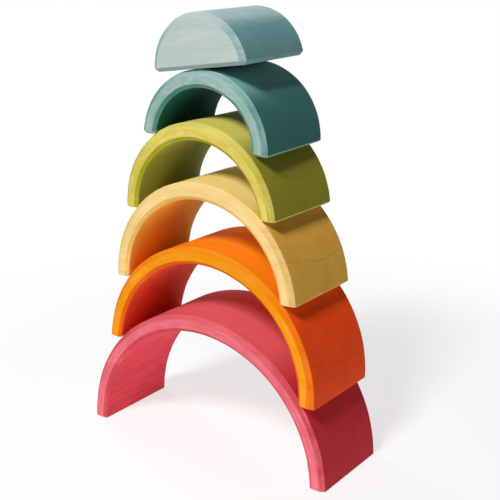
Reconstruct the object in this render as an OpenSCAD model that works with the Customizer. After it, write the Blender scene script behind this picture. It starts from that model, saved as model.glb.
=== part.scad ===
// Wooden rainbow stacker: five round arches and a half disc, sawn as nested rings out of one
// block and stacked as a tower, each arch astride the round back of the one below.
// Sizes are in millimetres. X runs across the span, Y from front to back, and Z is up.
// The origin is on the table, midway between the feet of the largest arch.

/* [Block] */
// Outer radius of the largest arch
outer_radius = 85; // [70:0.5:120]
// Wall of every arch, measured along the radius
arch_wall = 9.6; // [7:0.1:12]
// Width of the saw cut between one ring and the next
saw_cut = 1.2; // [0.4:0.05:3]
// Depth of every piece, front to back
depth = 59; // [30:0.5:90]
// Height of the flat base above the centre of the rings
base_cut = 1.5; // [0:0.1:6]
// Bevel along the round edges, front and back, and around every base
bevel = 2.1; // [0.5:0.1:3]

/* [Tower] */
// Stacked as a tower, or put away as a nested rainbow
arrangement = "tower"; // [tower, nested]
// Clearance under a stacked piece, square to the round back below it
seat_clearance = 0.25; // [0.1:0.05:0.6]
// Orange arch: roll to the right on the pink one, in degrees from level
orange_lean = 4.1; // [-8:0.1:8]
// Orange arch: turn about the upright, in degrees
orange_turn = -0.7; // [-5:0.1:5]
// Orange arch: how far it sits behind the pink one
orange_back = 0; // [-5:0.1:5]
// Yellow arch: roll to the right on the orange one, in degrees from level
yellow_lean = -2.4; // [-8:0.1:8]
// Yellow arch: turn about the upright, in degrees
yellow_turn = -0.2; // [-5:0.1:5]
// Yellow arch: how far it sits behind the pink one
yellow_back = -0.4; // [-5:0.1:5]
// Lime arch: roll to the right on the yellow one, in degrees from level
lime_lean = -3.5; // [-8:0.1:8]
// Lime arch: turn about the upright, in degrees
lime_turn = -0.5; // [-5:0.1:5]
// Lime arch: how far it sits behind the pink one
lime_back = 0.5; // [-5:0.1:5]
// Teal arch: roll to the right on the lime one, in degrees from level
teal_lean = 4; // [-8:0.1:8]
// Teal arch: turn about the upright, in degrees
teal_turn = 1.8; // [-5:0.1:5]
// Teal arch: how far it sits behind the pink one
teal_back = 1.6; // [-5:0.1:5]
// Half disc: tip to the right on the teal crown, in degrees from level
disc_lean = -7.5; // [-9:0.1:9]
// Half disc: turn about the upright, in degrees
disc_turn = 0.7; // [-5:0.1:5]
// Half disc: how far it sits behind the pink arch
disc_back = -0.1; // [-5:0.1:5]
// Half disc: how far its middle lies to the right of where it touches the crown
disc_shift = 6; // [-8:0.1:8]

/* [Hidden] */
NODES = ["pink_arch", "orange_arch", "yellow_arch", "lime_arch", "teal_arch", "blue_half_disc"];
$fn = 180;

// Place of a piece in the list, counted from the largest and lowest
function place_of(name) = search([name], NODES)[0];
PINK = place_of("pink_arch");
ORANGE = place_of("orange_arch");
YELLOW = place_of("yellow_arch");
LIME = place_of("lime_arch");
TEAL = place_of("teal_arch");
DISC = place_of("blue_half_disc");

lean = [0, orange_lean, yellow_lean, lime_lean, teal_lean, disc_lean];
turn = [0, orange_turn, yellow_turn, lime_turn, teal_turn, disc_turn];
back = [0, orange_back, yellow_back, lime_back, teal_back, disc_back];
half_depth = depth / 2;
// Slope of every bevel
bevel_angle = 45;
// Overlap that lets a cutting block pass right through
cut_spare = 1;

// Radii of the rings, counted inwards from the largest
function outer(i) = outer_radius - i * (arch_wall + saw_cut);
function inner(i) = outer(i) - arch_wall;

// Half the width of a circle of radius r where the base is cut
function base_half(r) = sqrt(r * r - base_cut * base_cut);

// The two bevelled corners of a wall's outer and inner side, as points of radius and depth.
// Spun about the axis they give a ring; laid flat at the base they give the sole of its foot.
function outer_side(r) = [
    [r - bevel, -half_depth],
    [r, bevel - half_depth],
    [r, half_depth - bevel],
    [r - bevel, half_depth]
];
function inner_side(r) = [
    [r + bevel, half_depth],
    [r, half_depth - bevel],
    [r, bevel - half_depth],
    [r + bevel, -half_depth]
];
axis_side = [[0, half_depth], [0, -half_depth]];

// The round back that piece i stands on, with the clearance added to its radius
function seat_radius(i) = outer(i - 1) + seat_clearance;

// Distance from the axis of the arch below up to the base of arch i, which stands astride it.
// A foot touches the round back somewhere on its bevelled inner edge. A turned arch touches
// first at the ends of that edge, which then lie nearer the crown by end_shift.
function astride(i) =
    let (
        r = seat_radius(i),
        twist = abs(turn[i] - turn[i - 1]),
        end_shift = (half_depth - bevel) * sin(twist),
        bevel_top = base_half(inner(i)),
        sole_edge = bevel_top + bevel,
        flush = r * sin(atan(1 / cos(twist))),
        nearest = bevel_top * cos(twist) - end_shift,
        furthest = sole_edge * cos(twist) - end_shift,
        touch = min(max(flush, nearest), furthest)
    )
    sqrt(r * r - touch * touch) + (touch + end_shift) / cos(twist) - sole_edge;

// Distance from the axis of the piece below up to the base of piece i
function seat(i) = i == DISC ? seat_radius(i) : astride(i);

// Puts a piece, modelled about the axis of its ring, in its place in the tower.
// It rolls about the axis of the piece below, so its seat stays true at any lean.
module placed(i) {
    if (i == PINK || arrangement == "nested") {
        translate([0, 0, -base_cut])
            children();
    } else {
        placed(i - 1)
            rotate([0, lean[i] - lean[i - 1], 0])
            translate([i == DISC ? disc_shift : 0, back[i] - back[i - 1], seat(i) - base_cut])
            rotate([0, 0, turn[i] - turn[i - 1]])
            children();
    }
}

// A profile of radius and depth spun about the Y axis and cut off flat at the base
module half_ring(profile, r) {
    intersection() {
        rotate([90, 0, 0])
            rotate_extrude()
            polygon(profile);
        translate([-r - cut_spare, -half_depth - cut_spare, base_cut])
            cube([2 * (r + cut_spare), depth + 2 * cut_spare, r]);
    }
}

// The wood taken off one straight edge of a sole, from corner p to corner q
module edge_bevel(p, q) {
    run = norm(q - p);
    facing = atan2(p.x - q.x, q.y - p.y);
    middle = (p + q) / 2;
    translate([middle.x, middle.y, base_cut])
        rotate([0, 0, facing])
        translate([-bevel, 0, 0])
        rotate([0, bevel_angle, 0])
        translate([0, -run / 2 - bevel, -2 * bevel])
        cube([2 * bevel, run + 2 * bevel, 4 * bevel]);
}

// The wood taken off all round a sole
module sole_bevel(outline) {
    corners = len(outline);
    for (k = [0 : corners - 1]) {
        edge_bevel(outline[k], outline[(k + 1) % corners]);
    }
}

module arch(i) {
    sole = concat(outer_side(base_half(outer(i))), inner_side(base_half(inner(i))));
    difference() {
        half_ring(concat(outer_side(outer(i)), inner_side(inner(i))), outer(i));
        for (foot = [0, 180]) {
            rotate([0, 0, foot])
                sole_bevel(sole);
        }
    }
}

module half_disc() {
    reach = base_half(outer(DISC));
    difference() {
        half_ring(concat(outer_side(outer(DISC)), axis_side), outer(DISC));
        sole_bevel(concat(outer_side(reach), inner_side(-reach)));
    }
}

module pink_arch() {
    color("#e8606c")
        placed(PINK)
        arch(PINK);
}

module orange_arch() {
    color("#f5941f")
        placed(ORANGE)
        arch(ORANGE);
}

module yellow_arch() {
    color("#f0ca80")
        placed(YELLOW)
        arch(YELLOW);
}

module lime_arch() {
    color("#c8bf4a")
        placed(LIME)
        arch(LIME);
}

module teal_arch() {
    color("#86aaa8")
        placed(TEAL)
        arch(TEAL);
}

module blue_half_disc() {
    color("#b4c8c6")
        placed(DISC)
        half_disc();
}

pink_arch();
orange_arch();
yellow_arch();
lime_arch();
teal_arch();
blue_half_disc();
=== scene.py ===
# %% [markdown]
# # A wooden rainbow, stacked as a tower
# Five round arches and a half disc are sawn as nested rings out of one block of pale wood, sanded,
# and stained in see-through colours. The measured solids come in as a fixed frame. Each is then
# rebuilt here with softened edges and a stained finish, and stays exactly where the frame has it.
# Lengths are in metres, +Z is up, and the front of the toy looks along -Y.

# %% Load the frame
import math

import bmesh
import bpy
from mathutils import Matrix, Quaternion, Vector, noise


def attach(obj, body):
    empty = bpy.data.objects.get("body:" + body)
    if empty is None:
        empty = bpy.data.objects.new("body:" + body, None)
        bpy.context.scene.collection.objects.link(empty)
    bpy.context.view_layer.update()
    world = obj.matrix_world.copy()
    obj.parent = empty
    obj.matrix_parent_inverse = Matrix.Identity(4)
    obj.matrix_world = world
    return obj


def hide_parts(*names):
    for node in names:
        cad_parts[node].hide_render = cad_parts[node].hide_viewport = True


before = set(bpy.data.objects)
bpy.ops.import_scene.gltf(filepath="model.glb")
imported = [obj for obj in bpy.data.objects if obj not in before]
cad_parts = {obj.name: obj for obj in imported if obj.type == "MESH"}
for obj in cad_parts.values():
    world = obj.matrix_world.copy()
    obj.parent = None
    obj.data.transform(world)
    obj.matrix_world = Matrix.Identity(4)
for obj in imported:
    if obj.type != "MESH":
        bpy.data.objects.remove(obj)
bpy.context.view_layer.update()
scene = bpy.context.scene

# %% [markdown]
# ## Camera
# A product photograph like this is taken from a little above, well to the right of the front, so
# that the front faces and the right-hand backs both show. The camera could be turned by hand until
# the picture looks right. Here it is placed by angles round an aim point in the middle of the
# tower, which keeps each number easy to read and to change.

# %% Camera
AIM = Vector((0.01555, 0.0, 0.11978))
CAMERA_DISTANCE = 0.58967
CAMERA_AZIMUTH = math.radians(35.436)
CAMERA_ELEVATION = math.radians(16.794)
CAMERA_ROLL = math.radians(-0.115)
LENS_MM = 74.375
SENSOR_MM = 36.0


def direction(azimuth, elevation):
    """Unit vector from the tower towards a place round it; azimuth 0 is the front, 90 the right."""
    level = math.cos(elevation)
    return Vector((math.sin(azimuth) * level, -math.cos(azimuth) * level, math.sin(elevation)))


towards_camera = direction(CAMERA_AZIMUTH, CAMERA_ELEVATION)
camera = bpy.data.objects.new("camera", bpy.data.cameras.new("camera"))
camera.data.lens = LENS_MM
camera.data.sensor_width = SENSOR_MM
camera.location = AIM + towards_camera * CAMERA_DISTANCE
camera.rotation_mode = "QUATERNION"
upright = (-towards_camera).to_track_quat("-Z", "Y")
camera.rotation_quaternion = upright @ Quaternion((0, 0, 1), CAMERA_ROLL)
scene.collection.objects.link(camera)
scene.camera = camera
print("camera at", [round(c, 3) for c in camera.location])

# %% [markdown]
# ## Where each piece stands
# The stacked pieces lean and turn a little, as they do when set down by hand. Wood grain has to
# follow the piece and not the room, so each piece needs a frame of its own: its origin on the axis
# of its ring, Y straight through from front to back, Z square to its base. These could be typed in,
# but the flat faces of the frame's solids already hold them, so they are read from there.

# %% Own frame of each piece
BASE_CUT = 0.0015
FACING = math.cos(math.radians(15))
SAME_PLANE = 0.99999
SOLE_LAYER = 0.0005


def flat_faces(faces, towards):
    """The faces of the widest flat area that looks roughly along a direction."""
    groups = []
    for face in sorted((f for f in faces if f.normal.dot(towards) > FACING), key=lambda f: -f.area):
        group = next((g for g in groups if g[0].normal.dot(face.normal) > SAME_PLANE), None)
        if group is None:
            groups.append([face])
        else:
            group.append(face)
    return max(groups, key=lambda g: sum(f.area for f in g))


def middle(faces):
    """Centre of some faces, each counted by its area."""
    return sum((f.center * f.area for f in faces), Vector()) / sum(f.area for f in faces)


def own_frame(node):
    """Matrix from a piece's own frame to the room: the ring's axis is its Y, its base faces -Z."""
    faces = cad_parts[node].data.polygons
    up = -flat_faces(faces, Vector((0, 0, -1)))[0].normal
    lowest = min(f.center.dot(up) for f in faces)
    sole = [f for f in faces if f.center.dot(up) < lowest + SOLE_LAYER and f.normal.dot(up) < -FACING]
    front = flat_faces(faces, Vector((0, -1, 0)))[0].normal
    across = (-front).cross(up).normalized()
    through = up.cross(across)
    axes = Matrix((across, through, up)).transposed().to_4x4()
    return Matrix.Translation(middle(sole) - up * BASE_CUT) @ axes


def ring_sizes(node, placed):
    """Outer radius, inner radius and half depth of a piece, measured in its own frame."""
    points = [placed.inverted() @ v.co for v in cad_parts[node].data.vertices]
    radii = [math.hypot(p.x, p.z) for p in points]
    return max(radii), min(radii), max(p.y for p in points)


NODES = ["pink_arch", "orange_arch", "yellow_arch", "lime_arch", "teal_arch", "blue_half_disc"]
placed = {node: own_frame(node) for node in NODES}
sizes = {node: ring_sizes(node, placed[node]) for node in NODES}
for node in NODES:
    lean = math.degrees(placed[node].to_euler().y)
    measured = [round(s, 5) for s in sizes[node]]
    print(node, "leans", round(lean, 2), "degrees, radii and half depth", measured)

# %% [markdown]
# ## Rims of the arches
# A real arch is sawn from the block, and its rims are bevelled by hand on a sander. A half torus with
# a square section would come close, but its bevels would be too even. Here a section of eight
# corners is swept round the ring. Each piece has its own rim, broader on the face than down the
# side, and the bevel wanders by a fraction of a millimetre on the way, as it does under a steady but
# human hand. One rim flares out towards its right foot, where the sander stayed a little longer.

# %% Bevelled section
RIMS = {
    "pink_arch": dict(width=0.0025, right=0.0022, left=0.0024, flare=0.0),
    "orange_arch": dict(width=0.0029, right=0.0021, left=0.0028, flare=0.0014),
    "yellow_arch": dict(width=0.0030, right=0.0021, left=0.0026, flare=0.0),
    "lime_arch": dict(width=0.0032, right=0.0019, left=0.0029, flare=0.0),
    "teal_arch": dict(width=0.0030, right=0.0017, left=0.0029, flare=0.0),
    "blue_half_disc": dict(width=0.0031, right=0.0021, left=0.0021, flare=0.0),
}
LIP = dict(width=0.0021, right=0.0015, left=0.0015, flare=0.0)
FLARE_TURN = math.radians(14)
SANDING = 0.0003
SLOW_WAVES = dict(waves=2.4, step=7.3, start=0.5)
QUICK_WAVES = dict(waves=12.0, step=3.1, start=4.5)
QUICK_SHARE = 1 / 3


def wander(angle, rim, waves, step, start):
    """Noise from -1 to 1 along one rim; step and start keep the rims apart."""
    return noise.noise(Vector((angle * waves, rim * step, start)))


def sanded(angle, rim):
    """How far one rim's bevel strays at an angle round the ring, in metres."""
    slow = wander(angle, rim, **SLOW_WAVES)
    quick = wander(angle, rim, **QUICK_WAVES)
    return SANDING * (slow + quick * QUICK_SHARE)


def soft_share(share):
    """A share held between 0 and 1, with soft ends."""
    held = min(max(share, 0.0), 1.0)
    return held * held * (3 - 2 * held)


def bevel_at(shape, angle, rim):
    """Width on the face and depth down the side of one rim's bevel at an angle round the ring."""
    over = soft_share(angle / math.pi)
    flare = shape["flare"] * (1 - soft_share(angle / FLARE_TURN))
    depth = shape["right"] + (shape["left"] - shape["right"]) * over
    stray = sanded(angle, rim)
    return shape["width"] + flare + stray, depth + stray


def outer_corners(radius, half_depth, angle, shape):
    """Corners of the outer side as (radius, depth), from front to back."""
    front, front_depth = bevel_at(shape, angle, 0)
    back, back_depth = bevel_at(shape, angle, 1)
    return [(radius - front, -half_depth), (radius, front_depth - half_depth),
            (radius, half_depth - back_depth), (radius - back, half_depth)]


def inner_corners(radius, half_depth, angle):
    """Corners of the inner side as (radius, depth), from back to front."""
    front, front_depth = bevel_at(LIP, angle, 2)
    back, back_depth = bevel_at(LIP, angle, 3)
    return [(radius + back, half_depth), (radius, half_depth - back_depth),
            (radius, front_depth - half_depth), (radius + front, -half_depth)]


print("rims", [round(rim["width"] * 1000, 1) for rim in RIMS.values()], "mm on the face")

# %% [markdown]
# ## Soles
# The edges of the two feet are broken too, each by its own amount. The ends are rolled up over a few
# millimetres, the outer edge is barely touched, so a foot seen from the front right ends in a point.
# The inner edges of the stacked arches keep the full bevel of the frame, because the arches sit on
# them, and so does the whole half disc. Blender's inset tool could draw a sole in from the foot's
# outline, but with one width for all edges. Here every corner has a width, and each edge takes the
# middle of its two.

# %% Edges of the soles
BEVEL = 0.0021
SOLES = {
    "pink_arch": dict(ends=0.0009, run=0.0024, outside=0.0003, inside=0.00045),
    "orange_arch": dict(ends=0.0010, run=0.0024, outside=0.0005, inside=BEVEL),
    "yellow_arch": dict(ends=0.0010, run=0.0024, outside=0.0006, inside=BEVEL),
    "lime_arch": dict(ends=0.0012, run=0.0024, outside=0.0009, inside=BEVEL),
    "teal_arch": dict(ends=0.0014, run=0.0017, outside=0.0010, inside=BEVEL),
    "blue_half_disc": dict(ends=BEVEL, run=BEVEL, outside=BEVEL, inside=BEVEL),
}


def sole_corners(ends, outside, inside):
    """An amount for each of a sole's eight corners, from the outer front round to the inner front."""
    return [ends, outside, outside, ends, ends, inside, inside, ends]


def rises_and_runs(sole):
    """How high each corner's bevel starts above the sole, and how far in it reaches."""
    rises = sole_corners(sole["ends"], sole["outside"], sole["inside"])
    runs = sole_corners(sole["run"], sole["outside"], sole["inside"])
    return rises, runs


def on_ring(corner, share, rise):
    """A corner of the section at a share of the way from the right foot's bevel to the left one's."""
    radius, depth = corner
    start = math.asin((BASE_CUT + rise) / radius)
    angle = start + share * (math.pi - 2 * start)
    return Vector((radius * math.cos(angle), depth, radius * math.sin(angle)))


def inset(outline, runs):
    """An outline drawn in by the widths at its corners; it runs anticlockwise."""
    drawn_in = []
    for k, here in enumerate(outline):
        before, after = k - 1, (k + 1) % len(outline)
        arriving = (Vector(here) - Vector(outline[before])).normalized()
        leaving = (Vector(outline[after]) - Vector(here)).normalized()
        arriving_width, leaving_width = (runs[before] + runs[k]) / 2, (runs[k] + runs[after]) / 2
        alike = arriving.dot(leaving)
        move = arriving.orthogonal() * (arriving_width - leaving_width * alike)
        move += leaving.orthogonal() * (leaving_width - arriving_width * alike)
        drawn_in.append(Vector(here) + move / (1 - alike ** 2))
    return drawn_in


print("sole ends rise", [round(sole["ends"] * 1000, 1) for sole in SOLES.values()], "mm")

# %% [markdown]
# ## Building the meshes
# The sweep could be a curve with a bevel object, but a curve can't give the feet their own bevel.
# Plain mesh code makes rings of quads instead, from the right foot over to the left one.

# %% Sweep
SWEEP_STEPS = 96


def sweep(bm, section_at, rises):
    """Rings of vertices from the right foot over to the left one."""
    rows = []
    for step in range(SWEEP_STEPS + 1):
        share = step / SWEEP_STEPS
        section = zip(section_at(math.pi * share), rises)
        rows.append([bm.verts.new(on_ring(corner, share, rise)) for corner, rise in section])
    return rows


def bridge(bm, row, next_row, closed):
    """Quads between two rows of vertices with the same count."""
    for k in range(len(row) if closed else len(row) - 1):
        after = (k + 1) % len(row)
        bm.faces.new((row[k], row[after], next_row[after], next_row[k]))


def mesh_from(bm, name):
    """A smooth-shaded mesh with its normals pointing out."""
    bmesh.ops.recalc_face_normals(bm, faces=bm.faces)
    mesh = bpy.data.meshes.new(name)
    bm.to_mesh(mesh)
    bm.free()
    mesh.polygons.foreach_set("use_smooth", [True] * len(mesh.polygons))
    return mesh


print("sweep of", SWEEP_STEPS, "steps from foot to foot")

# %% [markdown]
# ## Arch and half disc
# An arch is the closed section swept over, with a bevelled sole closing each foot. The half disc is
# the solid core that is left when the last ring is sawn off: the same sweep with only the outer side,
# closed by two flat half circles and one wide sole. Both could be cut from a cylinder with a Boolean,
# but that leaves ragged faces which shade badly.

# %% Arch and half disc meshes
def arch_mesh(name, size, rim, sole):
    """An arch in its own frame: a closed section swept from foot to foot."""
    outer, inner, half_depth = size
    bm = bmesh.new()
    rises, runs = rises_and_runs(sole)

    def section_at(angle):
        return outer_corners(outer, half_depth, angle, rim) + inner_corners(inner, half_depth, angle)

    rows = sweep(bm, section_at, rises)
    for row, next_row in zip(rows, rows[1:]):
        bridge(bm, row, next_row, closed=True)
    for row, angle, side in ((rows[0], 0.0, 1), (rows[-1], math.pi, -1)):
        flat = [bm.verts.new((side * u, y, BASE_CUT)) for u, y in inset(section_at(angle), runs)]
        bridge(bm, row, flat, closed=True)
        bm.faces.new(flat)
    return mesh_from(bm, name)


def half_disc_mesh(name, size, rim, sole):
    """The half disc in its own frame: an open section swept over, flat ends and one sole."""
    outer, _, half_depth = size
    bm = bmesh.new()
    rises, runs = rises_and_runs(sole)

    def section_at(angle):
        return outer_corners(outer, half_depth, angle, rim)

    rows = sweep(bm, section_at, rises)
    for row, next_row in zip(rows, rows[1:]):
        bridge(bm, row, next_row, closed=False)
    for end in (0, -1):
        bm.faces.new([row[end] for row in rows])
    left = [(-u, y) for u, y in reversed(section_at(math.pi))]
    flat = [bm.verts.new((u, y, BASE_CUT)) for u, y in inset(section_at(0.0) + left, runs)]
    bridge(bm, rows[0] + rows[-1][::-1], flat, closed=True)
    bm.faces.new(flat)
    return mesh_from(bm, name)


print("an arch has", len(sole_corners(0, 0, 0)), "corners in its section")

# %% [markdown]
# ## Softened edges
# Sanding leaves no knife edge: every corner on the toy is rounded by a third of a millimetre, and
# that thin round catches the light as a fine bright line. A bevel modifier with an angle limit does
# this to every corner at once and leaves the mesh under it simple. A weighted normal modifier then
# keeps the large flat faces flat in the shading.

# %% Make the pieces
EDGE_ROUND = 0.0003
EDGE_STEPS = 3
EDGE_ANGLE = math.radians(12)


def soften(piece):
    """Rounds every corner of a piece and keeps its flat faces flat."""
    rounding = piece.modifiers.new("sanded_corners", "BEVEL")
    rounding.width = EDGE_ROUND
    rounding.segments = EDGE_STEPS
    rounding.limit_method = "ANGLE"
    rounding.angle_limit = EDGE_ANGLE
    piece.modifiers.new("flat_faces", "WEIGHTED_NORMAL").keep_sharp = False


pieces = {}
for node in NODES:
    name = "stained_" + node
    make_mesh = half_disc_mesh if node == "blue_half_disc" else arch_mesh
    mesh = make_mesh(name, sizes[node], RIMS[node], SOLES[node])
    piece = bpy.data.objects.new(name, mesh)
    piece.matrix_world = placed[node]
    scene.collection.objects.link(piece)
    soften(piece)
    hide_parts(node)
    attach(piece, node)
    pieces[node] = piece
    print(name, len(mesh.vertices), "vertices,", len(mesh.polygons), "faces")

# %% [markdown]
# ## Helpers for shader nodes
# A material is a small network. Adding each node, setting it and linking it takes three or four
# lines, so these helpers do it in one: a value that is a socket gets linked, any other is typed in.

# %% Node helpers
MIX_SOCKETS = {"VECTOR": (4, 5, 1), "RGBA": (6, 7, 2)}


def put(tree, kind, inputs=None, **settings):
    """Adds a node, sets its properties, and links or sets its inputs by name or number."""
    made = tree.nodes.new(kind)
    for key, value in settings.items():
        setattr(made, key, value)
    for key, value in (inputs or {}).items():
        if isinstance(value, bpy.types.NodeSocket):
            tree.links.new(value, made.inputs[key])
        else:
            made.inputs[key].default_value = value
    return made


def calc(tree, operation, *values, clamp=False):
    """A Math node's result."""
    inputs = dict(enumerate(values))
    return put(tree, "ShaderNodeMath", inputs, operation=operation, use_clamp=clamp).outputs[0]


def ramp(tree, value, low, high, to_low=0.0, to_high=1.0):
    """A value run smoothly from one range to another, and held at its ends."""
    inputs = {"Value": value, "From Min": low, "From Max": high, "To Min": to_low, "To Max": to_high}
    return put(tree, "ShaderNodeMapRange", inputs, interpolation_type="SMOOTHSTEP").outputs[0]


def between(tree, share, low, high):
    """A value that runs evenly from low to high as a share runs from 0 to 1."""
    return calc(tree, "MULTIPLY_ADD", share, high - low, low)


def blend(tree, share, first, second, kind="RGBA", mode="MIX"):
    """Two colours or places mixed by a share; a Mix node has its own sockets for each kind."""
    low, high, mixed = MIX_SOCKETS[kind]
    inputs = {0: share, low: first, high: second}
    return put(tree, "ShaderNodeMix", inputs, data_type=kind, blend_type=mode).outputs[mixed]


print("helpers for sums, ramps and mixes ready")

# %% [markdown]
# ## Places and noise
# Wood is solid, so its marks are found from the place of a point in the piece, and not from a picture
# laid round it. These helpers take a place apart, stretch it, and read soft noise there. Noise that is
# stretched along one axis looks like fibres along that axis.

# %% Place and noise helpers
def axes_of(tree, vector):
    """The X, Y and Z of a vector."""
    return put(tree, "ShaderNodeSeparateXYZ", {0: vector}).outputs


def scaled(tree, place, factors):
    """A place stretched by a factor along each axis."""
    return put(tree, "ShaderNodeVectorMath", {0: place, 1: factors}, operation="MULTIPLY").outputs[0]


def noise_at(tree, place, scale, detail=2.0, rough=0.5):
    """Soft noise from 0 to 1."""
    inputs = {"Vector": place, "Scale": scale, "Detail": detail, "Roughness": rough}
    return put(tree, "ShaderNodeTexNoise", inputs).outputs[0]


def centred(tree, value, size):
    """A 0 to 1 value turned into a shift of up to half a size either way."""
    return calc(tree, "MULTIPLY", calc(tree, "SUBTRACT", value, 0.5), size)


print("helpers for places and noise ready")

# %% [markdown]
# ## Node groups
# The pieces share the same wood and the same tools. Copying the nodes into six materials would work,
# but each change would then have to be made six times. A node group is built once and placed in each
# material, with the material's own values on its named sockets.

# %% Group helpers
FLOAT = "NodeSocketFloat"
COLOUR = "NodeSocketColor"


def new_group(name, inputs, outputs):
    """A shader node group with named sockets: its tree, its input sockets and its output node."""
    tree = bpy.data.node_groups.new(name, "ShaderNodeTree")
    for label, kind, default in inputs:
        socket = tree.interface.new_socket(label, in_out="INPUT", socket_type=kind)
        if default is not None:
            socket.default_value = default
    for label, kind in outputs:
        tree.interface.new_socket(label, in_out="OUTPUT", socket_type=kind)
    entry = put(tree, "NodeGroupInput")
    return tree, entry.outputs, put(tree, "NodeGroupOutput")


def finish_group(tree, exit_node, **results):
    """Links results to the group's outputs; an underscore in a name stands for a space."""
    for label, value in results.items():
        tree.links.new(value, exit_node.inputs[label.replace("_", " ")])
    print("group", tree.name, "with", len(tree.nodes), "nodes")


print("helpers for groups ready")

# %% [markdown]
# ## Grain of the block
# All pieces come from one block whose fibres run across the span, along X. So the crowns show long
# fibres, and the sides of the legs show end grain, where the yearly rings cut through as thin dark
# lines. In this block they slope down towards the back and turn up again in a soft kink, and three
# dry years left darker rings that show at the same heights in every leg. A flat wood picture would
# not turn from long grain into end grain. Measuring noise in each piece's own frame does: the same
# solid grain is simply cut open wherever a surface lies.

# %% Yearly rings
RING_SPACING = 0.0017
RING_DEPTHS = (0.15, 0.6)
DULL_YEAR = 0.1
LATE_WOOD = 2.5
DARK_RINGS = {0.0190: 1.0, 0.0262: 0.7, 0.0357: 0.5}
DARK_RING_WIDTH = 0.0006
KINK_DEPTH = 0.0075
KINK_ROUND = 0.002
SLOPE_FRONT = -0.20
SLOPE_BACK = 0.15
DRIFT = 0.004
DRIFT_SCALE = 60
RIPPLE = 0.0007
RIPPLE_SCALE = 380
ALONG_FIBRES = (0.12, 1.0, 1.0)


def ring_height(tree, place):
    """Height of the yearly ring that runs through a place, measured at the kink."""
    axis = axes_of(tree, place)
    stretched = scaled(tree, place, ALONG_FIBRES)
    drift = centred(tree, noise_at(tree, stretched, DRIFT_SCALE), DRIFT)
    ripple = centred(tree, noise_at(tree, stretched, RIPPLE_SCALE, detail=1), RIPPLE)
    behind = calc(tree, "SUBTRACT", axis[1], KINK_DEPTH)
    bend = calc(tree, "SQRT", calc(tree, "MULTIPLY_ADD", behind, behind, KINK_ROUND ** 2))
    slope = calc(tree, "MULTIPLY", behind, (SLOPE_BACK + SLOPE_FRONT) / 2)
    bowl = calc(tree, "MULTIPLY_ADD", bend, (SLOPE_BACK - SLOPE_FRONT) / 2, slope)
    level = calc(tree, "SUBTRACT", axis[2], bowl)
    return calc(tree, "ADD", level, calc(tree, "ADD", drift, ripple))


def yearly_rings(tree, height):
    """Rings that darken towards the end of each year, and the few dark ones."""
    count = calc(tree, "DIVIDE", height, RING_SPACING)
    which = {"W": calc(tree, "FLOOR", count)}
    year = put(tree, "ShaderNodeTexWhiteNoise", which, noise_dimensions="1D").outputs[0]
    late = calc(tree, "POWER", calc(tree, "FRACT", count), LATE_WOOD)
    rings = calc(tree, "MULTIPLY", late, ramp(tree, year, DULL_YEAR, 1.0, *RING_DEPTHS))
    for dark, depth in DARK_RINGS.items():
        away = calc(tree, "ABSOLUTE", calc(tree, "SUBTRACT", height, dark))
        rings = calc(tree, "MAXIMUM", rings, ramp(tree, away, 0.0, DARK_RING_WIDTH, depth, 0.0))
    return rings


print("a ring every", RING_SPACING * 1000, "mm, and", len(DARK_RINGS), "dark ones")

# %% [markdown]
# ## Fibres and end grain
# Fibres are long and very fine, so their noise is stretched hard along X. Patches are the broad light
# and dark areas that every board has, and another slow noise lets the rings fade in and out. Where a
# surface looks sideways it cuts across the fibres, and that is all that end grain is, so the direction
# of the surface gives its mask. A wood picture would need a second one for the end grain.

# %% Block grain group
FADE_SCALE = 70
FADE_RANGE = (0.35, 0.6, 0.35, 1.0)
FIBRE_SCALE = 1300
PATCH_SCALE = 90
FINE_FIBRES = (0.08, 1.0, 1.0)
END_GRAIN_TURN = (0.5, 0.8)


def make_block_grain():
    """Masks of the solid wood: yearly rings, fibres, end grain and patches."""
    labels = ("Rings", "Fibre", "End grain", "Patches")
    tree, _, result = new_group("block grain", [], [(label, FLOAT) for label in labels])
    here = put(tree, "ShaderNodeTexCoord").outputs
    place = here["Object"]
    rings = yearly_rings(tree, ring_height(tree, place))
    fade = ramp(tree, noise_at(tree, place, FADE_SCALE), *FADE_RANGE)
    rings = calc(tree, "MULTIPLY", rings, fade)
    fibre = noise_at(tree, scaled(tree, place, FINE_FIBRES), FIBRE_SCALE, detail=3, rough=0.6)
    patches = noise_at(tree, scaled(tree, place, ALONG_FIBRES), PATCH_SCALE, detail=4, rough=0.55)
    sideways = calc(tree, "ABSOLUTE", axes_of(tree, here["Normal"])[0])
    end_grain = ramp(tree, sideways, *END_GRAIN_TURN)
    finish_group(tree, result, Rings=rings, Fibre=fibre, End_grain=end_grain, Patches=patches)
    return tree


block_grain = make_block_grain()

# %% [markdown]
# ## Saw lines
# The inner side of an arch is reached only by the saw, whose teeth leave close lines from front to
# back. A wave texture could draw them, but too evenly. Here a sine along the arc is slanted a little,
# swayed by slow noise, and broken up where the teeth bit less.

# %% Saw marks
SAW_SPACING = 0.0014
SAW_SLANT = 0.06
SAW_SWAY = 0.003
SWAY_SCALE = 90
ALONG_SWAY = (1.0, 0.3, 1.0)
BITE_SCALE = 420
BITE_RANGE = (0.3, 0.65)
ALONG_BITES = (1.0, 0.07, 1.0)


def saw_marks(tree, place, along):
    """Close lines across the inner side, bitten unevenly by the saw's teeth."""
    sway = centred(tree, noise_at(tree, scaled(tree, place, ALONG_SWAY), SWAY_SCALE), SAW_SWAY)
    depth = axes_of(tree, place)[1]
    feed = calc(tree, "ADD", calc(tree, "MULTIPLY_ADD", depth, SAW_SLANT, along), sway)
    tooth = calc(tree, "SINE", calc(tree, "MULTIPLY", feed, 2 * math.pi / SAW_SPACING))
    bite = ramp(tree, noise_at(tree, scaled(tree, place, ALONG_BITES), BITE_SCALE), *BITE_RANGE)
    return calc(tree, "MULTIPLY", ramp(tree, tooth, 0.0, 1.0), bite)


print("a saw line every", SAW_SPACING * 1000, "mm")

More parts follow.
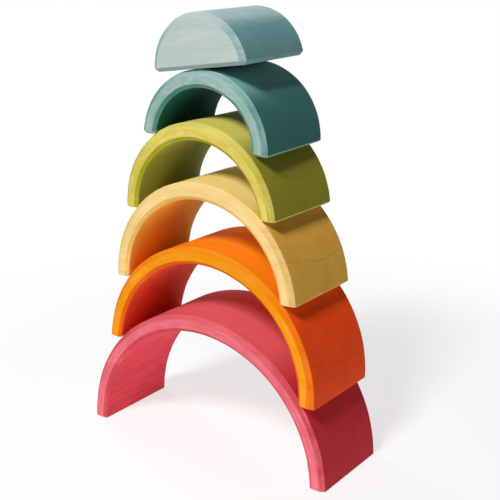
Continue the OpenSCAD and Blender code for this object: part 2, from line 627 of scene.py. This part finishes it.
# %% [markdown]
# ## Marks of the sander
# The sander follows the arch, so the flat ends and the bevels carry fine streaks that run round the
# arc, and the stain gathers in them and dries in mottled patches. Streaks that bend need a bent ruler:
# the place is measured as turn, depth and radius, and noise stretched along the turn then follows any
# arch. The half disc is sanded straight across, so for it the ruler stays straight.

# %% Tool marks group
ARC_RULER = 0.06
STREAK_SCALE = 800
ALONG_STREAKS = (0.05, 1.0, 1.0)
MOTTLE_SCALE = 380
ALONG_MOTTLE = (0.35, 1.0, 1.0)
BROADER = (0.6, 0.35, 0.35)
FACING_IN = (-0.6, -0.2, 1.0, 0.0)
STEEP_TURN = (0.45, 0.85)


def make_tool_marks():
    """Streaks and mottle of the sanded faces, saw lines, the inner side, and the steep legs."""
    labels = ("Streaks", "Mottle", "Saw lines", "Inner", "Steep")
    tree, given, result = new_group(
        "tool marks", [("Around", FLOAT, 1.0)], [(label, FLOAT) for label in labels])
    here = put(tree, "ShaderNodeTexCoord").outputs
    place = here["Object"]
    axis, look = axes_of(tree, place), axes_of(tree, here["Normal"])
    squared = calc(tree, "MULTIPLY", axis[2], axis[2])
    radius = calc(tree, "SQRT", calc(tree, "MULTIPLY_ADD", axis[0], axis[0], squared))
    turn = calc(tree, "ARCTAN2", axis[2], axis[0])
    on_arc = {0: calc(tree, "MULTIPLY", turn, ARC_RULER), 1: axis[1], 2: radius}
    bent = put(tree, "ShaderNodeCombineXYZ", on_arc).outputs[0]
    ruler = blend(tree, given["Around"], scaled(tree, place, BROADER), bent, kind="VECTOR")
    streaks = noise_at(tree, scaled(tree, ruler, ALONG_STREAKS), STREAK_SCALE, detail=3, rough=0.6)
    mottle = noise_at(tree, scaled(tree, ruler, ALONG_MOTTLE), MOTTLE_SCALE)

    saw_lines = saw_marks(tree, place, calc(tree, "MULTIPLY", turn, radius))
    upright = calc(tree, "MULTIPLY", axis[2], look[2])
    outward = calc(tree, "MULTIPLY_ADD", axis[0], look[0], upright)
    inner = ramp(tree, calc(tree, "DIVIDE", outward, radius), *FACING_IN)
    steep = ramp(tree, calc(tree, "ABSOLUTE", calc(tree, "DIVIDE", axis[0], radius)), *STEEP_TURN)
    finish_group(
        tree, result, Streaks=streaks, Mottle=mottle, Saw_lines=saw_lines, Inner=inner, Steep=steep)
    return tree


tool_marks = make_tool_marks()

# %% [markdown]
# ## Bevels, and worn corners with a painted highlight
# Where the sander took a bevel, the stain sits a little differently, and along the thin rounded
# corners it is rubbed paler by hands. That pale line is also a painted highlight, standing for the
# light that the thin rounds catch. The mask could be painted, but ends, rims and sides each lean
# their own way, so the direction a surface looks in its own frame already says which one it is. A
# sole's bevel looks the same way as part of the inner round, so its height tells it apart.

# %% Sanded edges group
SOLE_TOP = BASE_CUT + BEVEL + EDGE_ROUND
FLAT_END = (0.972, 0.99)
RIM_LEAN = (0.5, 0.65)
SOLE_LEAN = (0.3, 0.6)
SIDE_CORNER = (0.42, 0.05, 0.26)
END_CORNER = (0.94, 0.01, 0.04)
END_CORNER_SHARE = 0.6
SOLE_CORNER = (0.38, 0.05, 0.26)


def close_to(tree, value, middle_value, inside, outside):
    """1 where a value lies within a distance of a middle, fading to 0 further out."""
    away = calc(tree, "ABSOLUTE", calc(tree, "SUBTRACT", value, middle_value))
    return ramp(tree, away, inside, outside, 1.0, 0.0)


def make_sanded_edges():
    """Masks of the flat ends, of the bevels, and of the thin rounded corners beside them."""
    labels = ("Flat end", "Bevel", "Sole", "Corner")
    tree, _, result = new_group("sanded edges", [], [(label, FLOAT) for label in labels])
    here = put(tree, "ShaderNodeTexCoord").outputs
    look = axes_of(tree, here["Normal"])
    endward, upward = calc(tree, "ABSOLUTE", look[1]), calc(tree, "ABSOLUTE", look[2])
    flat_end = ramp(tree, endward, *FLAT_END)
    rim = calc(tree, "SUBTRACT", ramp(tree, endward, *RIM_LEAN), flat_end)
    height = axes_of(tree, here["Object"])[2]
    at_sole = ramp(tree, height, SOLE_TOP - EDGE_ROUND, SOLE_TOP, 1.0, 0.0)
    sole = calc(tree, "MULTIPLY", at_sole, ramp(tree, upward, *SOLE_LEAN))
    bevel = calc(tree, "MAXIMUM", rim, sole)
    # The corner mask marks the thin rounds, where the coat paints both wear and a highlight.
    end_corner = calc(tree, "MULTIPLY", close_to(tree, endward, *END_CORNER), END_CORNER_SHARE)
    sole_corner = calc(tree, "MULTIPLY", close_to(tree, upward, *SOLE_CORNER), at_sole)
    corner = calc(tree, "MAXIMUM", close_to(tree, endward, *SIDE_CORNER), end_corner)
    corner = calc(tree, "MAXIMUM", corner, sole_corner)
    finish_group(tree, result, Flat_end=flat_end, Bevel=bevel, Sole=sole, Corner=corner)
    return tree


sanded_edges = make_sanded_edges()

# %% [markdown]
# ## See-through stain
# The stain is thin and watery. On long fibres it stays pale and lets the warm wood through; end
# grain drinks it and turns deep; rings, streaks and saw lines show under it everywhere, and it is
# rubbed off the thin corners, where the paler colour also paints the highlight that those rounds
# catch. One flat colour for each piece would lose all that. The first step picks the stain of each
# kind of surface: flat front, rim, lip, foot, crown, leg or inner side.

# %% Surface colours
SURFACES = ("Front", "Rim", "Leg rim", "Lip", "Foot", "Heel", "Crown", "Leg", "Inside", "Bare")
HEEL_TURN = (0.05, 0.25)


def surface_colour(tree, given):
    """The stain of each kind of surface, before any mark shows."""
    side = blend(tree, given["End grain"], given["Crown"], given["Leg"])
    side = blend(tree, given["Inner"], side, given["Inside"])
    rim = blend(tree, given["Steep"], given["Rim"], given["Leg rim"])
    rim = blend(tree, given["Inner"], rim, given["Lip"])
    heel = ramp(tree, given["End grain"], *HEEL_TURN)
    rim = blend(tree, given["Sole"], rim, blend(tree, heel, given["Foot"], given["Heel"]))
    colour = blend(tree, given["Flat end"], side, given["Front"])
    return blend(tree, given["Bevel"], colour, rim)


print("a stain has", len(SURFACES), "colours")

# %% [markdown]
# ## Bare wood and painted edge highlights
# On sanded faces the stain dries thin in streaks and in soft mottled patches, and hands rub it off
# the corners. There the pale wood shows through, and on the corners the same pale colour is also a
# painted highlight along the rounds. It could be painted on, but the masks of the grain and of the
# tools already know these places, so they are combined.

# %% Bare wood and painted edge highlights
THIN_PATCHES = (0.4, 0.7)
THIN_STREAKS = (0.35, 0.7)
THIN_MOTTLE = (0.42, 0.68)
CORNER_FIBRES = (0.2, 0.7, 0.5, 1.0)


def bare_wood_and_highlight(tree, given, sanded_flat):
    """Share of bare colour: thin streaks, mottled patches, worn corners with a painted highlight."""
    patches = ramp(tree, given["Patches"], *THIN_PATCHES)
    thin = calc(tree, "MULTIPLY", patches, ramp(tree, given["Streaks"], *THIN_STREAKS))
    washed = calc(tree, "SUBTRACT", sanded_flat, given["Sole"], clamp=True)
    thin = calc(tree, "MULTIPLY", calc(tree, "MULTIPLY", thin, given["Wash"]), washed)
    mottled = calc(tree, "MULTIPLY", ramp(tree, given["Mottle"], *THIN_MOTTLE), given["Flat end"])
    thin = calc(tree, "MAXIMUM", thin, calc(tree, "MULTIPLY", mottled, given["Mottling"]))
    # Corners: rubbed wear, and a painted highlight where the thin rounds catch the light.
    worn_and_lit = calc(tree, "MULTIPLY", given["Corner"], ramp(tree, given["Fibre"], *CORNER_FIBRES))
    return calc(tree, "MAXIMUM", thin, calc(tree, "MULTIPLY", worn_and_lit, given["Wear"]))


print("bare wood shows where patches pass", THIN_PATCHES[0], "or mottle passes", THIN_MOTTLE[0])

# %% [markdown]
# ## Dark marks
# Rings and saw lines hold more stain and look darker, and so, more faintly, do streaks, fibres and
# patches. Each could tint the colour in its own way. Multiplying one grey by all of them keeps the
# hue of the stain, which is what a thicker or thinner coat does.

# %% Lines and shade
RINGS_ON_END_GRAIN = (0.0, 0.4, 0.2, 1.0)
RINGS_ON_FLATS = 0.25
RINGS_INSIDE = 0.15
STREAKS_ON_SIDES = 0.2
MOST_NOISE = (0.25, 0.75)
SHADES = {"Fibre": (0.96, 1.04), "Patches": (0.94, 1.06)}


def ring_and_saw_lines(tree, given, on_side):
    """Rings, strongest on end grain, and saw lines, which show on the inner side alone."""
    lines = calc(tree, "MULTIPLY", given["Rings"], ramp(tree, given["End grain"], *RINGS_ON_END_GRAIN))
    lines = calc(tree, "MULTIPLY", lines, between(tree, on_side, RINGS_ON_FLATS, 1.0))
    lines = calc(tree, "MULTIPLY", lines, between(tree, given["Inner"], 1.0, RINGS_INSIDE))
    sawn = calc(tree, "MULTIPLY", given["Saw lines"], given["Inner"])
    return lines, calc(tree, "MULTIPLY", sawn, on_side)


def marks_shade(tree, given, lines, sawn, sanded_flat):
    """A grey that darkens the stain in lines, streaks, fibres and patches."""
    dark = calc(tree, "MULTIPLY", lines, given["Ring depth"])
    dark = calc(tree, "MULTIPLY_ADD", sawn, given["Saw depth"], dark)
    shade = calc(tree, "SUBTRACT", 1.0, dark)
    streaked = ramp(tree, given["Streaks"], *MOST_NOISE, -1.0, 1.0)
    streaked = calc(tree, "MULTIPLY", streaked, given["Streak depth"])
    strength = between(tree, sanded_flat, STREAKS_ON_SIDES, 1.0)
    shade = calc(tree, "MULTIPLY", shade, calc(tree, "MULTIPLY_ADD", streaked, strength, 1.0))
    for mask, shades in SHADES.items():
        shade = calc(tree, "MULTIPLY", shade, ramp(tree, given[mask], *MOST_NOISE, *shades))
    return put(tree, "ShaderNodeCombineColor", {0: shade, 1: shade, 2: shade}).outputs[0]


print("faint shades from", ", ".join(SHADES))

# %% [markdown]
# ## One coat for all
# The last group puts these steps together and gives out colour, roughness and relief, so that six
# colours share the same behaviour. Fibres and streaks stand up a little under the stain, and rings
# and saw lines lie deeper.

# %% Stain coat group
MARKS = ("Rings", "Fibre", "End grain", "Patches", "Streaks", "Mottle", "Saw lines", "Inner", "Steep",
         "Flat end", "Bevel", "Sole", "Corner")
AMOUNTS = ("Ring depth", "Saw depth", "Streak depth", "Wash", "Mottling", "Wear")
ROUGHNESS = (0.55, 0.75)
FIBRE_RELIEF = 0.5
STREAK_RELIEF = 0.4
RING_RELIEF = 0.4


def make_stain_coat():
    """Colour, roughness and relief of the stained wood from its masks."""
    inputs = [(label, COLOUR, None) for label in SURFACES]
    inputs += [(label, FLOAT, 0.0) for label in MARKS + AMOUNTS]
    tree, given, result = new_group(
        "stain coat", inputs, [("Colour", COLOUR), ("Roughness", FLOAT), ("Relief", FLOAT)])
    sanded_flat = calc(tree, "MAXIMUM", given["Flat end"], given["Bevel"])
    on_side = calc(tree, "SUBTRACT", 1.0, sanded_flat)
    lines, sawn = ring_and_saw_lines(tree, given, on_side)
    bare = bare_wood_and_highlight(tree, given, sanded_flat)
    colour = blend(tree, bare, surface_colour(tree, given), given["Bare"])
    grey = marks_shade(tree, given, lines, sawn, sanded_flat)
    colour = blend(tree, 1.0, colour, grey, mode="MULTIPLY")

    rough = between(tree, given["Fibre"], *ROUGHNESS)
    raised = calc(tree, "MULTIPLY", given["Streaks"], STREAK_RELIEF)
    raised = calc(tree, "MULTIPLY_ADD", given["Fibre"], FIBRE_RELIEF, raised)
    sunk = calc(tree, "MULTIPLY_ADD", lines, RING_RELIEF, sawn)
    relief = calc(tree, "SUBTRACT", raised, sunk)
    finish_group(tree, result, Colour=colour, Roughness=rough, Relief=relief)
    return tree


stain_coat = make_stain_coat()

# %% [markdown]
# ## Six stains
# Each piece has its own colour, which differs a little from surface to surface: pale on the flat
# fronts and sanded rims, fuller on the lip of the inner edge, over the crown and on the rims of the
# legs, deepest on the end grain of the legs. One colour for each piece, darkened by a factor, would be
# shorter, but stains also shift in hue where they soak in. The values are screen colours.

# %% Stain colours
# The last amount of each stain sets how pale the corners show: rubbed wear and a painted highlight.
STAINS = {
    "pink_arch": dict(
        front=(224, 104, 115), rim=(213, 93, 100), leg_rim=(203, 76, 89), lip=(204, 72, 86),
        foot=(232, 126, 134), heel=(232, 126, 134), crown=(210, 95, 100), leg=(194, 47, 57),
        inside=(226, 76, 89), bare=(248, 160, 165),
        ring_depth=0.10, saw_depth=0.36, streak_depth=0.05,
        wash=0.35, mottling=0.18, wear=0.2),
    "orange_arch": dict(
        front=(237, 148, 8), rim=(229, 139, 22), leg_rim=(238, 114, 8), lip=(238, 101, 8),
        foot=(246, 152, 80), heel=(246, 152, 80), crown=(238, 133, 19), leg=(243, 78, 26),
        inside=(250, 97, 61), bare=(252, 190, 90),
        ring_depth=0.17, saw_depth=0.1, streak_depth=0.045,
        wash=0.25, mottling=0.14, wear=0.2),
    "yellow_arch": dict(
        front=(241, 204, 134), rim=(240, 206, 136), leg_rim=(228, 187, 109), lip=(240, 195, 99),
        foot=(250, 208, 146), heel=(250, 208, 146), crown=(250, 214, 129), leg=(227, 173, 73),
        inside=(250, 193, 77), bare=(253, 232, 180),
        ring_depth=0.18, saw_depth=0.08, streak_depth=0.035,
        wash=0.3, mottling=0.16, wear=0.5),
    "lime_arch": dict(
        front=(206, 190, 80), rim=(203, 191, 93), leg_rim=(186, 174, 67), lip=(170, 168, 17),
        foot=(206, 196, 100), heel=(206, 196, 100), crown=(218, 207, 96), leg=(148, 142, 46),
        inside=(159, 170, 84), bare=(244, 220, 142),
        ring_depth=0.16, saw_depth=0.12, streak_depth=0.04,
        wash=0.3, mottling=0.34, wear=0.8),
    "teal_arch": dict(
        front=(141, 173, 164), rim=(134, 169, 164), leg_rim=(88, 143, 135), lip=(74, 137, 126),
        foot=(146, 184, 172), heel=(146, 184, 172), crown=(118, 172, 168), leg=(63, 116, 110),
        inside=(35, 100, 95), bare=(202, 206, 202),
        ring_depth=0.14, saw_depth=0.1, streak_depth=0.05,
        wash=0.3, mottling=0.26, wear=0.8),
    "blue_half_disc": dict(
        front=(176, 191, 186), rim=(171, 186, 184), leg_rim=(128, 168, 167), lip=(176, 202, 200),
        foot=(157, 183, 176), heel=(117, 166, 165), crown=(181, 206, 206), leg=(118, 165, 166),
        inside=(124, 166, 166), bare=(218, 206, 196),
        ring_depth=0.24, saw_depth=0.0, streak_depth=0.02,
        wash=0.6, mottling=0.06, wear=0.45),
}
print("stains:", ", ".join(STAINS))

# %% [markdown]
# ## Stained wood
# The finish of a piece is a plain shader fed by the groups: colour and roughness go straight in, and
# relief becomes a fine bump. The sheen is the same all over, so it is set on the shader itself. The
# screen colours are turned into the amounts of light that the renderer works with.

# %% Stain materials
SHEEN = 0.06
BUMP_HEIGHT = 0.00006
BUMP_STRENGTH = 0.6


def screen(red, green, blue):
    """A screen colour of 0 to 255 as the renderer's linear colour."""
    shares = (red / 255, green / 255, blue / 255)
    return (*[c / 12.92 if c <= 0.04045 else ((c + 0.055) / 1.055) ** 2.4 for c in shares], 1.0)


def key_of(label):
    """The key in a stain for a socket's label."""
    return label.lower().replace(" ", "_")


def stained_wood(node, stain):
    """The finish of one piece."""
    material = bpy.data.materials.new("stained_wood_" + node)
    material.use_nodes = True
    tree = material.node_tree
    shader = tree.nodes["Principled BSDF"]
    shader.inputs["Specular IOR Level"].default_value = SHEEN
    around = 0.0 if node == "blue_half_disc" else 1.0
    grain = put(tree, "ShaderNodeGroup", node_tree=block_grain)
    marks = put(tree, "ShaderNodeGroup", {"Around": around}, node_tree=tool_marks)
    edges = put(tree, "ShaderNodeGroup", node_tree=sanded_edges)
    coat = put(tree, "ShaderNodeGroup", node_tree=stain_coat)
    for surface in SURFACES:
        coat.inputs[surface].default_value = screen(*stain[key_of(surface)])
    for amount in AMOUNTS:
        coat.inputs[amount].default_value = stain[key_of(amount)]
    for source in (grain, marks, edges):
        for socket in source.outputs:
            tree.links.new(socket, coat.inputs[socket.name])
    height = {"Height": coat.outputs["Relief"], "Distance": BUMP_HEIGHT, "Strength": BUMP_STRENGTH}
    bump = put(tree, "ShaderNodeBump", height)
    tree.links.new(coat.outputs["Colour"], shader.inputs["Base Color"])
    tree.links.new(coat.outputs["Roughness"], shader.inputs["Roughness"])
    tree.links.new(bump.outputs["Normal"], shader.inputs["Normal"])
    return material


for node, stain in STAINS.items():
    pieces[node].data.materials.append(stained_wood(node, stain))
print(len(STAINS), "pieces stained")

# %% [markdown]
# ## White floor
# The toy stands on a plain white sheet. Lit like the toy, a white sheet would come out grey, and more
# light would bleach the stains. So the sheet answers two questions differently: to the light it is
# plain diffuse white and bounces it on, to the camera it is white by its own glow, and only near the
# toy does it mix in the real shading, so that the shadow stays.

# %% Floor
FLOOR_SIZE = 6.0
BOUNCE_WHITE = (0.75, 0.75, 0.75, 1.0)
SHADOW_WHITE = (0.34, 0.34, 0.34, 1.0)
SHADOW_GLOW = 0.68
SHADOW_NEAR = 0.16
SHADOW_FAR = 0.42


def seen_directly(tree):
    """1 for what the camera sees, straight or in a reflection, and 0 for light on the object."""
    path = put(tree, "ShaderNodeLightPath").outputs
    seen = calc(tree, "MAXIMUM", path["Is Camera Ray"], path["Is Glossy Ray"])
    return calc(tree, "MAXIMUM", seen, path["Is Transmission Ray"])


def mix_shaders(tree, share, first, second):
    """Two shaders mixed by a share."""
    return put(tree, "ShaderNodeMixShader", {0: share, 1: first.outputs[0], 2: second.outputs[0]})


def white_sheet():
    """A white floor: plain for the light, pure white to the camera but for the toy's own shadow."""
    material = bpy.data.materials.new("white_sheet")
    material.use_nodes = True
    tree = material.node_tree
    tree.nodes.remove(tree.nodes["Principled BSDF"])
    bounce = put(tree, "ShaderNodeBsdfDiffuse", {"Color": BOUNCE_WHITE})
    shaded = put(tree, "ShaderNodeBsdfDiffuse", {"Color": SHADOW_WHITE})
    glow = put(tree, "ShaderNodeEmission", {"Strength": SHADOW_GLOW})
    near = put(tree, "ShaderNodeAddShader", {0: shaded.outputs[0], 1: glow.outputs[0]})
    far = put(tree, "ShaderNodeEmission", {"Strength": 1.0})
    place = put(tree, "ShaderNodeTexCoord").outputs["Object"]
    away = put(tree, "ShaderNodeVectorMath", {0: place}, operation="LENGTH").outputs["Value"]
    shown = mix_shaders(tree, ramp(tree, away, SHADOW_NEAR, SHADOW_FAR), near, far)
    sheet = mix_shaders(tree, seen_directly(tree), bounce, shown)
    tree.links.new(sheet.outputs[0], tree.nodes["Material Output"].inputs["Surface"])
    return material


floor_mesh = bpy.data.meshes.new("floor")
half = FLOOR_SIZE / 2
corners = [(-half, -half, 0), (half, -half, 0), (half, half, 0), (-half, half, 0)]
floor_mesh.from_pydata(corners, [], [(0, 1, 2, 3)])
floor = bpy.data.objects.new("floor", floor_mesh)
floor_mesh.materials.append(white_sheet())
scene.collection.objects.link(floor)
print("floor", FLOOR_SIZE, "m square")

# %% [markdown]
# ## Studio light
# One soft lamp high in front does most of the work: it lights the front faces and crowns, leaves the
# right-hand sides in shade, and throws the shadow of each piece on the one below. Broad dim lamps from
# the left and from behind keep those sides readable. In a real studio the bright table also lights
# the toy from below; two weak lamps lying on the floor stand for it, one under the toy and one to its
# right. The world could do all this evenly, but then the shadows between the pieces would be lost.

# %% Lamps
SOFTBOXES = {
    "key_softbox": dict(azimuth=1, elevation=47, distance=1.2, size=0.28, watts=13.5),
    "side_softbox": dict(azimuth=-110, elevation=14, distance=1.2, size=0.5, watts=6.0),
    "back_softbox": dict(azimuth=185, elevation=6, distance=1.2, size=0.6, watts=4.0),
}
TABLE_GLOWS = {
    "glow_below": dict(x=0.0, y=0.0, size=0.3, watts=0.17),
    "glow_right": dict(x=0.36, y=0.0, size=0.4, watts=0.35),
}
GLOW_HEIGHT = 0.0005


def add_lamp(name, size, watts, place, facing):
    """A square lamp that lights the toy but is never seen itself."""
    lamp = bpy.data.lights.new(name, "AREA")
    lamp.size = size
    lamp.energy = watts
    holder = bpy.data.objects.new(name, lamp)
    holder.location = place
    holder.rotation_mode = "QUATERNION"
    holder.rotation_quaternion = facing.to_track_quat("-Z", "Y")
    holder.visible_camera = False
    holder.visible_glossy = False
    scene.collection.objects.link(holder)


def softbox(name, azimuth, elevation, distance, size, watts):
    """A lamp on a stand, facing the middle of the tower."""
    towards = direction(math.radians(azimuth), math.radians(elevation))
    add_lamp(name, size, watts, AIM + towards * distance, -towards)


def table_glow(name, x, y, size, watts):
    """A patch of the bright table, shining up."""
    add_lamp(name, size, watts, Vector((x, y, GLOW_HEIGHT)), Vector((0, 0, 1)))


for name, setting in SOFTBOXES.items():
    softbox(name, **setting)
for name, setting in TABLE_GLOWS.items():
    table_glow(name, **setting)
print("lamps:", ", ".join([*SOFTBOXES, *TABLE_GLOWS]))

# %% [markdown]
# ## Room
# The room is white to look at, but gives the toy hardly any light. One world strength can't do both,
# so it depends on who asks: the camera sees a full white, and the surfaces of the toy get a dim one.

# %% Room light
ROOM_LIGHT = 0.03

world = bpy.data.worlds.new("studio")
world.use_nodes = True
scene.world = world
sky = world.node_tree.nodes["Background"]
strength = ramp(world.node_tree, seen_directly(world.node_tree), 0.0, 1.0, ROOM_LIGHT, 1.0)
sky.inputs["Color"].default_value = (1, 1, 1, 1)
world.node_tree.links.new(strength, sky.inputs["Strength"])
scene.view_settings.view_transform = "Standard"
print("room light", ROOM_LIGHT)
